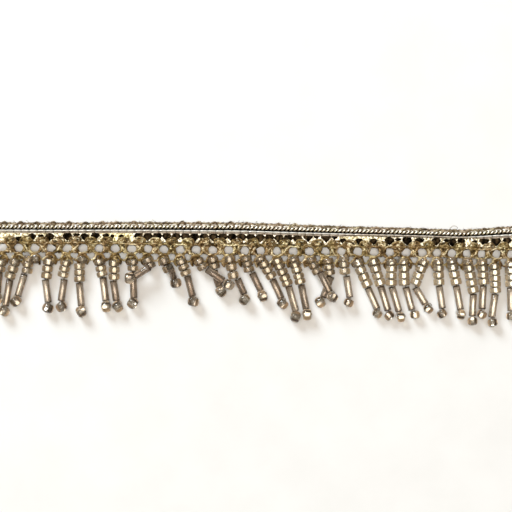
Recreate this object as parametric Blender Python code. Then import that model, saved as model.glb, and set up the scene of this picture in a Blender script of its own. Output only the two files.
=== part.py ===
"""A cut length of gold crocheted lace trim with a bead fringe, lying flat and face up.

The heading is a braid with picots on its upper edge. A twisted cord lies in the braid's groove, a
strip of mirror foil runs below it, then the crocheted net with its fans and holes, and last the
fringe: drops of seed beads, one long bead and an end bead, on the net's lowest row of loops.
"""

import math

import bmesh
import bpy
import numpy as np

# Driving dimensions in metres
BRAID_THICK = 0.0012
PICOT_RISE = 0.0005
STITCH_DIP = 0.00025
GROOVE_FLOOR = 0.0006
GROOVE_WIDTH = 0.0014
CORD_RADIUS = 0.0004
CORD_HEIGHT = 0.00135
CORD_LOBE = 0.00108
FOIL_FACET = 0.00252
FOIL_PEAK = 0.0011
FOIL_DIP = 0.0006
FOIL_GAP = 0.0004
NET_FAN_TOP = 0.0015
NET_EDGE_TOP = 0.0008
HOLE_WIDTH = 0.0024
HOLE_HEIGHT = 0.0018
LOOPS_LOW = 0.0002
LOOPS_TOP = 0.0012
SEED_WIDE = 0.0027
SEED_PITCH = 0.0018
SEED_NECK = 0.0014
NECK_LOW = 0.0004
NECK_TOP = 0.0018
BUGLE_WIDE = 0.0018
END_WIDE = 0.0026
GAP = 0.0003

# The tables below are drawn on a grid, x along the trim and y down from its upper side
GRID = 0.00027  # metres to one step of the grid
MIDDLE_X = 256.0
MIDDLE_Y = 273.8
LEFT_END = -6.0
RIGHT_END = 518.0

# Repeats of the net: even along most of the length, and pushed together near the right end
FIRST_HOLE_X = 2.88
REPEAT = 16.12
EVEN_REPEATS = 26
PUSHED_REPEAT = 14.8
REPEATS = 33

# x, y of the braid's upper edge, y of the row of large holes
GUIDE = (
    (-6, 222.3, 247.4),
    (60, 222.5, 248.0),
    (120, 222.0, 248.3),
    (180, 222.0, 249.6),
    (240, 222.3, 250.2),
    (300, 224.5, 251.3),
    (350, 226.8, 251.3),
    (400, 228.2, 252.4),
    (440, 229.8, 252.6),
    (460, 230.8, 253.5),
    (480, 229.3, 254.0),
    (518, 226.0, 254.4),
)
GUIDE_SOFTENING = np.linspace(-12, 12, 9)

# Rows across the band, as shares of the way from the upper edge to the large holes
YARN_ROW = 0.09
CORD_ROW = 0.225
BRAID_FOOT = 0.43
FOIL_HEAD = 0.475
FAN_CROWN = 0.12
FAN_FOOT = 0.9

# Where a drop starts, in grid steps below the large holes
ROOT_ROW = 9.5

# How far a seed bead keeps its full width from its middle, as a share of the beads' pitch
SEED_FACE = 0.28

# Sections of an end bead: place along the drop in half widths, width and inset as shares of the width
END_SECTIONS = ((-0.92, 0.5, 0.1), (-0.4, 1, 0), (0.4, 1, 0), (1, 0.5, 0.1))

# Corners of a large hole, as shares of its half width and half height
HOLE_CORNERS = ((1, 0.3), (0.5, 1), (-0.5, 1), (-1, 0.3), (-1, -0.3), (-0.5, -1), (0.5, -1), (1, -0.3))

# Across the net: phase of the repeat, upper edge as a share of the band, lower edge in grid steps
# below the row of large holes, how far the fan has risen
NET_OUTLINE = (
    (0.0, 0.725, 4.8, 0.0),
    (0.28, 0.62, 4.7, 0.8),
    (0.5, 0.59, 4.4, 1.0),
    (0.72, 0.62, 4.7, 0.8),
)

# The row of loops under the net: phase, upper and lower edge in grid steps below the large holes
LOOPS_OUTLINE = (
    (0.0, 5.9, 12.2),
    (0.27, 7.6, 12.8),
    (0.5, 10.6, 13.2),
    (0.73, 7.6, 12.8),
)

# A row for each drop, in grid steps: first seed bead x, y; last seed bead x, y; long bead's head x, y
# and foot x, y; end bead x, y. Then how high head, foot and end bead lie over a neighbour, in mm.
DROPS = (
    (2.0, 262.0, 0.5, 268.5, -0.5, 274.0, -1.5, 292.0, -1.0, 298.0, 0, 0, 0),
    (15.5, 262.0, 11.0, 275.5, 10.0, 282.0, 6.0, 305.0, 4.5, 311.0, 0, 0, 0),
    (29.5, 258.5, 27.5, 270.5, 24.5, 275.0, 18.0, 295.0, 15.5, 301.0, 0, 0, 0),
    (49.0, 262.0, 47.0, 275.5, 45.5, 281.0, 48.5, 301.5, 48.5, 308.0, 0, 0, 0),
    (66.0, 263.0, 63.5, 274.5, 64.5, 280.0, 61.5, 300.0, 62.0, 306.5, 0, 0, 0),
    (80.0, 266.0, 80.0, 279.0, 79.5, 285.0, 81.5, 305.0, 81.5, 311.5, 0, 0, 0),
    (100.0, 262.5, 102.5, 274.0, 103.5, 279.5, 106.0, 300.0, 106.5, 306.5, 0, 0, 0),
    (114.5, 263.0, 114.5, 276.5, 113.5, 282.5, 116.5, 300.0, 118.0, 306.5, 0, 0, 0),
    (133.0, 262.0, 133.0, 268.0, 133.2, 273.5, 134.0, 297.0, 133.0, 303.0, 0, 0, 0),
    (148.0, 261.0, 149.5, 262.0, 149.5, 267.5, 136.5, 275.5, 130.0, 278.0, 1.2, 2.2, 2.2),
    (165.0, 261.0, 166.0, 263.0, 169.0, 267.5, 174.0, 277.5, 176.0, 283.0, 0.6, 0, 0),
    (181.5, 262.0, 186.0, 272.5, 188.0, 277.5, 192.5, 296.0, 193.5, 301.5, 0, 0, 0),
    (199.0, 261.5, 202.5, 266.5, 207.5, 269.5, 223.0, 280.5, 229.0, 284.5, 2.4, 2.0, 1.0),
    (213.0, 260.0, 214.5, 266.0, 214.5, 272.0, 219.0, 286.0, 221.0, 291.5, 0, 0, 0),
    (230.0, 259.0, 233.0, 275.0, 237.5, 278.5, 244.0, 293.5, 244.5, 299.5, 0, 0, 0),
    (246.5, 258.5, 249.0, 269.5, 252.5, 273.5, 260.5, 290.0, 262.5, 296.0, 0, 0, 0),
    (260.5, 259.0, 271.0, 275.5, 273.5, 281.5, 281.0, 298.0, 282.5, 303.5, 0, 0, 0),
    (277.5, 261.0, 287.0, 283.0, 289.5, 288.5, 295.5, 310.5, 295.5, 316.5, 0, 0, 0),
    (293.5, 259.0, 300.0, 281.5, 302.0, 287.5, 306.0, 308.5, 307.0, 314.5, 0, 0, 0),
    (311.0, 259.0, 315.5, 268.0, 320.0, 272.5, 329.0, 291.0, 332.0, 297.0, 1.6, 2.3, 1.2),
    (328.0, 261.0, 329.5, 272.5, 331.0, 279.0, 323.5, 296.5, 320.0, 302.0, 0, 0, 0),
    (343.5, 258.5, 344.5, 271.5, 346.5, 277.0, 349.5, 296.5, 348.5, 302.5, 0, 0, 0),
    (357.5, 263.0, 366.5, 283.5, 368.0, 289.0, 376.5, 308.0, 377.0, 313.5, 0, 0, 0),
    (373.0, 262.0, 379.5, 282.5, 381.0, 288.5, 387.5, 309.5, 389.0, 315.5, 0, 0, 0),
    (391.0, 262.0, 391.0, 282.5, 392.0, 288.5, 398.5, 310.5, 400.5, 317.0, 0, 0, 0),
    (403.0, 261.5, 404.5, 282.5, 406.0, 288.5, 411.5, 309.0, 414.5, 314.5, 0, 0, 0),
    (423.0, 262.5, 415.0, 282.0, 415.5, 288.0, 424.5, 303.0, 428.0, 308.5, 0, 0, 0),
    (437.5, 261.5, 438.5, 282.0, 439.0, 288.0, 442.0, 307.5, 441.5, 313.5, 0, 0, 0),
    (451.0, 260.5, 455.5, 281.5, 456.0, 287.5, 460.0, 308.5, 460.5, 314.5, 0, 0, 0),
    (467.0, 261.0, 472.5, 290.0, 473.0, 295.5, 472.0, 315.0, 472.0, 321.0, 0, 0, 0),
    (481.5, 262.0, 483.0, 281.5, 483.0, 287.5, 481.5, 308.0, 480.5, 314.0, 0, 0, 0),
    (494.0, 266.5, 495.0, 290.0, 494.5, 296.5, 491.5, 316.5, 492.0, 322.5, 0, 0, 0),
    (509.5, 264.0, 510.0, 284.0, 510.0, 290.0, 510.5, 310.0, 510.5, 316.0, 0, 0, 0),
)


def clear_scene():
    for item in list(bpy.data.objects):
        bpy.data.objects.remove(item)


def material(name, colour, roughness, metallic):
    made = bpy.data.materials.new(name)
    made.use_nodes = True
    shader = made.node_tree.nodes["Principled BSDF"]
    shader.inputs["Base Color"].default_value = (*colour, 1)
    shader.inputs["Roughness"].default_value = roughness
    shader.inputs["Metallic"].default_value = metallic
    made.diffuse_color = (*colour, 1)
    return made


def place(x, y, z):
    """Metres from a place on the grid and a height."""
    return ((x - MIDDLE_X) * GRID, (MIDDLE_Y - y) * GRID, z)


def guide(x, column):
    """The upper edge (column 1) or the row of large holes (column 2) at x, with its corners softened."""
    table = np.array(GUIDE, dtype=float)
    return float(np.interp(x + GUIDE_SOFTENING, table[:, 0], table[:, column]).mean())


def band(x, share):
    """y at a share of the way from the upper edge to the row of large holes."""
    return guide(x, 1) + share * (guide(x, 2) - guide(x, 1))


def hole_x(count):
    """x of a large hole. It takes fractions too, for places between two holes."""
    pushed = max(0.0, count - EVEN_REPEATS)
    return FIRST_HOLE_X + REPEAT * (count - pushed) + PUSHED_REPEAT * pushed


def repeat_stations(outline):
    """The outline's rows at each phase of each repeat, x first, with a row at each cut end."""
    rows = []
    for count in range(-1, REPEATS + 1):
        for phase, *values in outline:
            rows.append((hole_x(count + phase), *values))
    inside = [row for row in rows if LEFT_END + 1 < row[0] < RIGHT_END - 1]
    return [(LEFT_END, *read_off(rows, LEFT_END)), *inside, (RIGHT_END, *read_off(rows, RIGHT_END))]


def read_off(rows, x):
    """The values of a table of rows at x, between its rows."""
    table = np.array(rows, dtype=float)
    return tuple(float(np.interp(x, table[:, 0], column)) for column in table[:, 1:].T)


def mesh_object(name, mesh_builder, finish=None):
    mesh = bpy.data.meshes.new(name)
    bmesh.ops.recalc_face_normals(mesh_builder, faces=mesh_builder.faces)
    mesh_builder.to_mesh(mesh)
    mesh_builder.free()
    if finish:
        mesh.materials.append(finish)
    made = bpy.data.objects.new(name, mesh)
    bpy.context.scene.collection.objects.link(made)
    return made


def add_loft(builder, rings):
    """A closed skin over rings of points, all with as many points, capped at both ends."""
    loops = [[builder.verts.new(point) for point in ring] for ring in rings]
    count = len(loops[0])
    for before, after in zip(loops, loops[1:]):
        for i in range(count):
            j = (i + 1) % count
            builder.faces.new((before[i], before[j], after[j], after[i]))
    builder.faces.new(loops[0][::-1])
    builder.faces.new(loops[-1])


def loft(name, rings, finish):
    builder = bmesh.new()
    add_loft(builder, rings)
    return mesh_object(name, builder, finish)


def use_boolean(target, helper, operation):
    helper.hide_render = True
    helper.display_type = "WIRE"
    modifier = target.modifiers.new(operation.title(), "BOOLEAN")
    modifier.operation = operation
    modifier.object = helper


# Heading braid: picots on the upper edge, two flat tapes and the groove between them
def make_heading():
    half_groove = GROOVE_WIDTH / 2 / GRID
    rings = []
    count = -1.0
    stations = [LEFT_END]
    while hole_x(count) < RIGHT_END - 1:
        if hole_x(count) > LEFT_END + 1:
            stations.append(hole_x(count))
        count += 0.25
    stations.append(RIGHT_END)
    for i, x in enumerate(stations):
        picot = PICOT_RISE / GRID if i % 4 == 1 else 0.0
        dip = STITCH_DIP if i % 2 == 0 else 0.0
        top = guide(x, 1) - picot
        yarn = band(x, YARN_ROW)
        groove = band(x, CORD_ROW)
        foot = band(x, BRAID_FOOT)
        rings.append(
            [
                place(x, top, 0),
                place(x, top, BRAID_THICK * 0.6),
                place(x, yarn, BRAID_THICK),
                place(x, groove - half_groove, BRAID_THICK - dip),
                place(x, groove - half_groove, GROOVE_FLOOR),
                place(x, groove + half_groove, GROOVE_FLOOR),
                place(x, groove + half_groove, BRAID_THICK - dip),
                place(x, foot, BRAID_THICK - dip),
                place(x, foot, 0),
            ]
        )
    loft("heading", rings, material("metal_tape", (0.5, 0.45, 0.36), 0.35, 0.8))


# Twisted cord: a square bar whose corners wind round it
def make_cord():
    steps = 2 * round((RIGHT_END - LEFT_END) * GRID / CORD_LOBE)
    rings = []
    for i in range(steps + 1):
        x = LEFT_END + (RIGHT_END - LEFT_END) * i / steps
        turn = math.pi / 4 * i
        middle = band(x, CORD_ROW)
        ring = []
        for corner in range(4):
            angle = turn + corner * math.pi / 2
            side = CORD_RADIUS * math.cos(angle) / GRID
            ring.append(place(x, middle + side, CORD_HEIGHT + CORD_RADIUS * math.sin(angle)))
        rings.append(ring)
    loft("twist_cord", rings, material("twist_gold", (0.62, 0.5, 0.25), 0.3, 0.9))


# Mirror foil: a faceted strip with a point down between each two fans
def make_foil():
    outline = repeat_stations(NET_OUTLINE)
    gap = FOIL_GAP / GRID
    steps = round((RIGHT_END - LEFT_END) * GRID / FOIL_FACET * 2)
    rings = []
    for i in range(steps + 1):
        x = LEFT_END + (RIGHT_END - LEFT_END) * i / steps
        head = band(x, FOIL_HEAD)
        foot = band(x, read_off(outline, x)[0]) - gap
        ridge = FOIL_PEAK if i % 2 == 0 else FOIL_DIP
        rings.append(
            [
                place(x, head, 0),
                place(x, head, FOIL_DIP),
                place(x, (head + foot) / 2, ridge),
                place(x, foot, FOIL_DIP),
                place(x, foot, 0),
            ]
        )
    loft("foil_strip", rings, material("mirror_foil", (0.3, 0.26, 0.18), 0.08, 1.0))


# Crocheted net: raised fans between the large holes, which are cut through
def make_net():
    rings = []
    for x, share, lower, risen in repeat_stations(NET_OUTLINE):
        crown = NET_EDGE_TOP + (NET_FAN_TOP - NET_EDGE_TOP) * risen
        upper = band(x, share)
        foot = guide(x, 2) + lower
        rings.append(
            [
                place(x, upper, 0),
                place(x, upper, NET_EDGE_TOP),
                place(x, band(x, share + FAN_CROWN), crown),
                place(x, band(x, FAN_FOOT), NET_EDGE_TOP),
                place(x, foot, NET_EDGE_TOP),
                place(x, foot, 0),
            ]
        )
    net = loft("lace_net", rings, material("crochet_gold", (0.42, 0.33, 0.17), 0.5, 0.6))
    builder = bmesh.new()
    for count in range(REPEATS):
        x = hole_x(count)
        y = guide(x, 2)
        outline = []
        for across, up in HOLE_CORNERS:
            outline.append((x + across * HOLE_WIDTH / 2 / GRID, y + up * HOLE_HEIGHT / 2 / GRID))
        rings = [[place(*corner, z) for corner in outline] for z in (-NET_FAN_TOP, 2 * NET_FAN_TOP)]
        add_loft(builder, rings)
    use_boolean(net, mesh_object("net_holes", builder), "DIFFERENCE")


def cross_ring(x, y, direction, wide, low, high):
    """Four corners of a section across a strand that runs along direction."""
    side_x = -direction[1] * wide / 2 / GRID
    side_y = direction[0] * wide / 2 / GRID
    return [
        place(x + side_x, y + side_y, low),
        place(x + side_x, y + side_y, high),
        place(x - side_x, y - side_y, high),
        place(x - side_x, y - side_y, low),
    ]


def heading_of(start, end):
    away = np.array(end, dtype=float) - np.array(start, dtype=float)
    return away / max(float(np.hypot(*away)), 1e-9)


def strand_rings(drop, root):
    """Sections of one drop from its root: seed beads with narrow necks, the long bead, the end bead."""
    first, last, head, foot, end = (np.array(drop[i : i + 2], dtype=float) for i in range(0, 10, 2))
    head_lift, foot_lift, end_lift = (height / 1000 for height in drop[10:])
    run = float(np.hypot(*(last - first)))
    gaps = round(run * GRID / SEED_PITCH)
    if gaps == 0:
        last = first
    line = heading_of(first, last if gaps else head)
    pitch = run / gaps if gaps else SEED_PITCH / GRID
    corner = first[1] - abs(line[0]) * SEED_WIDE / 2 / GRID - line[1] * pitch * SEED_FACE
    lowered = max(0.0, guide(root[0], 2) + LOOPS_OUTLINE[0][1] - corner)
    first[1] += lowered
    pitch -= lowered / max(gaps, 1)
    rings = []
    shoulder = first - line * pitch * SEED_FACE
    if float(np.dot(shoulder - root, line)) * GRID > GAP:
        rings.append(cross_ring(*root, line, SEED_NECK, NECK_LOW, (LOOPS_TOP + NECK_LOW) / 2))
    for count in range(gaps + 1):
        middle = first + line * pitch * count
        for offset in (-SEED_FACE, SEED_FACE):
            spot = middle + line * pitch * offset
            rings.append(cross_ring(*spot, line, SEED_WIDE, 0, SEED_WIDE))
        if count < gaps:
            spot = middle + line * pitch * 0.5
            rings.append(cross_ring(*spot, line, SEED_NECK, NECK_LOW, NECK_TOP))
    tube = heading_of(head, foot)
    turn = heading_of((0, 0), line + tube)
    neck = head - tube * GAP / GRID
    rings.append(cross_ring(*neck, turn, SEED_NECK, head_lift + NECK_LOW, head_lift + NECK_TOP))
    rings.append(cross_ring(*head, tube, BUGLE_WIDE, head_lift, head_lift + BUGLE_WIDE))
    rings.append(cross_ring(*foot, tube, BUGLE_WIDE, foot_lift, foot_lift + BUGLE_WIDE))
    way = heading_of(foot, end)
    for offset, wide, inset in END_SECTIONS:
        spot = end + way * offset * END_WIDE / 2 / GRID
        low = end_lift + inset * END_WIDE
        high = end_lift + (1 - inset) * END_WIDE
        rings.append(cross_ring(*spot, way, wide * END_WIDE, low, high))
    return rings


# Bead fringe: drops of beads, each fused at its root into the row of loops
def make_fringe():
    rings = []
    for x, upper, lower in repeat_stations(LOOPS_OUTLINE):
        base = guide(x, 2)
        rings.append(
            [
                place(x, base + upper, LOOPS_LOW),
                place(x, base + upper, LOOPS_TOP),
                place(x, base + lower, LOOPS_TOP),
                place(x, base + lower, LOOPS_LOW),
            ]
        )
    fringe = loft("bead_fringe", rings, material("bead_glass", (0.45, 0.36, 0.24), 0.12, 0.0))
    builder = bmesh.new()
    for count, drop in enumerate(DROPS):
        x = hole_x(count)
        root = np.array((x, guide(x, 2) + ROOT_ROW))
        add_loft(builder, strand_rings(drop, root))
    use_boolean(fringe, mesh_object("drops", builder), "UNION")


clear_scene()
make_heading()
make_cord()
make_foil()
make_net()
make_fringe()
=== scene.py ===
"""Looks of the beaded lace trim: threads, tapes, mirror facets and glass beads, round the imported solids."""

import math

import bpy
import numpy as np
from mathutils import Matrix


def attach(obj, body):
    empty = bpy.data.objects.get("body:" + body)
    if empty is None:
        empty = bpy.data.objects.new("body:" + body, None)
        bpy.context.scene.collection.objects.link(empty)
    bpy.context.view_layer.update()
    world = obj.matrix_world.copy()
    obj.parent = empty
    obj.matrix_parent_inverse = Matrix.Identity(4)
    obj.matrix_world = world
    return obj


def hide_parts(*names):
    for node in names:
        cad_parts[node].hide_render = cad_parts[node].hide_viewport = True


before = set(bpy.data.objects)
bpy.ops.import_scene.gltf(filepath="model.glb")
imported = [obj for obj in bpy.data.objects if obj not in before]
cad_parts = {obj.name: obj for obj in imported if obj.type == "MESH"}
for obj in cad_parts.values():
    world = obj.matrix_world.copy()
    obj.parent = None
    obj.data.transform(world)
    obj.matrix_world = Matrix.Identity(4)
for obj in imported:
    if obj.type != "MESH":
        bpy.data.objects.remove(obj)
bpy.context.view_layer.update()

# The grid that the trim is drawn on, as in the part's source: x along it, y down from its upper side
GRID = 0.00027
MIDDLE_X = 256.0
MIDDLE_Y = 273.8
LEFT_END = -6.0
RIGHT_END = 518.0
FIRST_HOLE_X = 2.88
REPEAT = 16.12
EVEN_REPEATS = 26
PUSHED_REPEAT = 14.8
REPEATS = 33
GUIDE = np.array(
    (
        (-6, 222.3, 247.4), (60, 222.5, 248), (120, 222, 248.3), (180, 222, 249.6),
        (240, 222.3, 250.2), (300, 224.5, 251.3), (350, 226.5, 251.3), (400, 227.6, 252.4),
        (440, 229.1, 252.6), (460, 230.1, 253.5), (480, 228.6, 254), (518, 225.3, 254.4),
    )
)
GUIDE_SOFTENING = np.linspace(-12, 12, 9)

# A row for each drop, in grid steps: first seed bead x, y; last seed bead x, y; long bead's head x, y
# and foot x, y; end bead x, y. Last, the way the end bead's hole points: degrees up from the surface,
# and degrees round.
DROPS = (
    (2, 262, 0.5, 268.5, -0.5, 274, -2, 292, -2, 298.5, 50, 20),
    (15.5, 262, 11, 275.5, 10, 282, 6, 305, 4.5, 311, 40, 60),
    (29.5, 258.5, 27.5, 270.5, 24.5, 275, 18.5, 295, 16.5, 301, 55, 130),
    (49, 262, 47, 275.5, 45.5, 281, 48.5, 301.5, 48.5, 308, 60, 250),
    (66, 263, 63.5, 274.5, 64.5, 280, 61.5, 300, 62, 306.5, 50, 300),
    (80, 266, 80, 279, 79.5, 285, 81.5, 305, 81.5, 311.5, 65, 210),
    (100, 262.5, 102.5, 274, 103.5, 279.5, 106, 300, 106.5, 306.5, 20, 5),
    (114.5, 263, 114.5, 276.5, 113.5, 282.5, 116.5, 300, 118, 306.5, 10, 35),
    (133, 262, 133, 268, 133.2, 273.5, 134, 297, 133, 303, 60, 320),
    (148, 260.5, 150.5, 266, 149.5, 267.5, 136.5, 275.5, 130, 278, 4, 0),
    (164.5, 261, 168, 268.5, 170.2, 266.8, 173.8, 276.9, 176, 283, 45, 100),
    (181.5, 262, 186, 272.5, 188, 277.5, 192.5, 296, 193.5, 301.5, 30, 80),
    (199, 261.5, 202.5, 266.5, 207.5, 269.5, 223, 280.5, 229, 284.5, 25, 60),
    (213, 260, 214.5, 266, 214.5, 272, 219, 286, 221, 291.5, 45, 220),
    (230, 259, 233, 275, 238, 279.4, 244, 293.5, 244.5, 299.5, 40, 140),
    (246.5, 258.5, 249, 269.5, 252.5, 273.5, 260.5, 290, 262.5, 296, 35, 200),
    (260.5, 259, 271, 275.5, 273.5, 281.5, 281, 298, 282.5, 303.5, 35, 50),
    (277.5, 261, 287, 283, 289.5, 288.5, 295.5, 310.5, 295.5, 316.5, 50, 160),
    (293.5, 259, 300, 281.5, 302, 287.5, 306, 308.5, 307, 314.5, 0, 0),
    (311, 259.5, 317, 271, 320, 272.5, 329, 291, 332, 297, 50, 240),
    (328, 261, 329.5, 272.5, 331, 279, 323.5, 296.5, 320, 302, 40, 30),
    (343.5, 258.5, 344.5, 271.5, 346.5, 277, 349.5, 296.5, 348.5, 302.5, 15, 65),
    (357.5, 263, 366.5, 283.5, 368, 289, 376.5, 308, 377, 313.5, 30, 60),
    (373, 262, 379.5, 282.5, 381, 288.5, 387.5, 309.5, 389, 315.5, 40, 310),
    (391, 262, 391, 282.5, 392, 288.5, 398.5, 310.5, 400.5, 317, 0, 5),
    (403, 261.5, 404, 282.5, 406, 288.5, 411.5, 309, 414.5, 314.5, 15, 95),
    (423, 262.5, 415.4, 282, 415.5, 288, 424.5, 303, 428, 308.5, 40, 45),
    (437.5, 261.5, 438.5, 282, 439, 288, 442, 307.5, 441.5, 313.5, 45, 120),
    (451, 260.5, 455.5, 281.5, 456, 287.5, 460, 308.5, 460.5, 314.5, 15, 170),
    (467, 261, 472.5, 290, 473, 295.5, 472, 315, 472, 321, 85, 270),
    (481.5, 262, 483, 281.5, 483, 287.5, 481.8, 308, 481.3, 314.2, 35, 60),
    (494, 266.5, 495, 290, 494.5, 296.5, 491.5, 316.5, 492, 322.5, 70, 280),
    (509.5, 264, 510, 284, 510, 290, 510.5, 310, 510.5, 316, 30, 90),
)

# How high head, foot and end bead lie over a neighbour, in mm, in the drops that cross one, from 0 on
LIFTS = {9: (3.0, 2.3, 2.2), 10: (2.9, 0.4, 0), 12: (2.4, 2.0, 1.0), 19: (3.0, 2.6, 1.4)}
NO_LIFT = (0, 0, 0)

# Painted light and shade: how bright the silver linings of the seed beads and of the long bead are painted,
# from the left drop on, and of all drops after those; low values are painted shade on the same silver
PAINTED_LINING_LIGHT = (
    (0.6, 0.7), (0.55, 0.7), (0.6, 0.85), (0.6, 0.7), (0.6, 0.56), (0.65, 0.4), (0.6, 0.8), (0.65, 0.18),
    (0.35, 0.22), (0.15, 0.15), (0.1, 0.2), (0.3, 0.08), (0.15, 0.04), (0.25, 0.06), (0.4, 0.07), (0.2, 0.06),
    (0.5, 0.28), (0.75, 0.95), (0.75, 0.45), (0.25, 0.35), (0.42, 0.2), (0.35, 0.75),
)
LATE_PAINTED_LINING_LIGHT = (0.9, 0.66)

# Bead sizes in metres. A lining is the silver that lies in the glass round a bead's hole.
SEED_RADIUS = 0.0015
SEED_LONG = 0.00186
SEED_PITCH = 0.0018
SEED_LINING = 0.00051
BUGLE_RADIUS = 0.00096
BUGLE_BEVEL = 0.00008
BUGLE_LINING = 0.0005
END_RADIUS = 0.00155
END_LONG = 0.0023
END_LINING = 0.00056
LINING_THICK = 0.00006
BEAD_GAP = 0.0002
FLOOR_GAPS = {"seed": 0.00004, "bugle": 0.00016, "end": 0.00002}
THREAD_RADIUS = 0.00012
TURN_RADIUS = 0.00009

# A bead's hole as a share of its lining, and linings as shares of a bead's length
HOLE_SHARE = 0.58
SEED_LINED = 0.6
BUGLE_LINED = 0.97
END_LINED = 0.9

# Where a drop hangs, below the middle of its large hole, and how far from there its first seed bead
# can be before one more goes between, in grid steps
LOOP_FOOT = 10.5
FREE_RUN = 5.5

# x over which the drops change to the even, lighter ones on the right, and what changes: how far beads
# turn, how light they are, their linings, and the size of an end bead and how far it stands up
SEEDS_CHANGE = (330, 345)
ENDS_CHANGE = (325, 345)
EVEN_SEEDS_FROM = 350
TURNING = (0.65, 0.3)
LIGHTNESS = (0.0, 0.6)
LINING_SIZE = (1.0, 0.88)
END_SIZE = (1.0, 0.87)
END_STANDS = (0.2, 0.15)

# Half of a bead's outline, from its middle to its end: shares of half its length and of its radius
SEED_ROWS = ((0.4, 0.995), (0.72, 0.96), (0.9, 0.89), (1.0, 0.78))
EVEN_SEED_ROWS = ((0.4, 1.0), (0.72, 0.985), (0.9, 0.955), (1.0, 0.86))
END_ROWS = ((0.35, 0.985), (0.65, 0.92), (0.88, 0.8), (1.0, 0.62))

# A turn that lays a four-sided lining with a flat side up
SQUARE_UP = math.pi / 4

# Thread sizes in metres
PLY_PITCH = 0.0011
FINE_PITCH = 0.0009
PICOT_PITCH = 0.0008
FIBRE_RADIUS = 0.00005
CORD_THICK = 0.00098
CORD_PITCH = 0.00216
CORD_HEIGHT = 0.001
STITCH_RADIUS = 0.00007
STITCH_STEP = 0.0002

# Rows across the band, as shares of the way from the upper edge to the large holes
PICOT_ROW = 0.05
UPPER_TAPE = (0.068, 0.155)
CORD_ROW = 0.172
GROOVE_ROW = 0.238
LOWER_TAPE_LINE = (0.292, 0.35)
LOWER_TAPE_BODY = (0.345, 0.425)
PAINTED_SHADE_BACKING_ROWS = (0.05, 0.5)
FOIL_ROWS = (0.33, 0.8)
FACET_ROW = 0.548

# Steps along the band on the grid, and how far its yarns stop short of its ends
FACET_PITCH = 9.35
STITCH_PITCH = 8.1
END_MARGIN = 0.5

# Foot and crown of each tape and of the near-black backing, which is painted shade, in metres
UPPER_HEIGHTS = (0.0005, 0.0006)
LOWER_LINE_HEIGHTS = (0.0011, 0.0004)
LOWER_BODY_HEIGHTS = (0.0004, 0.00055)
PAINTED_SHADE_BACKING_HEIGHTS = (0.0, 0.0004)

random = np.random.default_rng(11)


def spot(x, y, z):
    """Metres from places on the grid and heights."""
    x, y, z = np.broadcast_arrays(np.asarray(x, float), np.asarray(y, float), np.asarray(z, float))
    return np.stack(((x - MIDDLE_X) * GRID, (MIDDLE_Y - y) * GRID, z), axis=-1)


def guide(x, column):
    """The upper edge (column 1) or the row of large holes (column 2) at x, with its corners softened."""
    x = np.asarray(x, float)
    return np.interp(x[..., None] + GUIDE_SOFTENING, GUIDE[:, 0], GUIDE[:, column]).mean(-1)


def band(x, share):
    """y at a share of the way from the upper edge to the row of large holes."""
    return guide(x, 1) + share * (guide(x, 2) - guide(x, 1))


def hole_x(count):
    """x of a large hole. It takes fractions too, for places between two holes."""
    pushed = max(0.0, count - EVEN_REPEATS)
    return FIRST_HOLE_X + REPEAT * (count - pushed) + PUSHED_REPEAT * pushed


def change(x, over, values):
    """A value that changes from one to another over a stretch of x."""
    return float(np.interp(x, over, values))


def unit(vectors):
    """Vectors of length one."""
    return vectors / np.maximum(np.linalg.norm(vectors, axis=-1, keepdims=True), 1e-12)


def smooth_path(points, spacing):
    """Even steps along a smooth curve through the points."""
    points = np.asarray(points, float)
    ends = np.vstack((2 * points[0] - points[1], points, 2 * points[-1] - points[-2]))
    t = np.linspace(0, 1, 12, endpoint=False)[:, None]
    fine = []
    for a, b, c, d in zip(ends, ends[1:], ends[2:], ends[3:]):
        bend = (2 * a - 5 * b + 4 * c - d) * t**2
        twist = (3 * b - a - 3 * c + d) * t**3
        fine.append(0.5 * (2 * b + (c - a) * t + bend + twist))
    fine = np.vstack((*fine, points[-1:]))
    along = np.concatenate(((0,), np.cumsum(np.linalg.norm(np.diff(fine, axis=0), axis=1))))
    count = max(3, round(along[-1] / spacing) + 1)
    even = np.linspace(0, along[-1], count)
    return np.stack([np.interp(even, along, fine[:, i]) for i in range(3)], axis=-1)


def sides_of(path):
    """Unit vectors across a path, level and upright."""
    along = unit(np.gradient(path, axis=0))
    level = unit(np.cross(along, (0.0, 0.0, 1.0)) + (1e-9, 0, 0))
    return level, np.cross(level, along)


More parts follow.
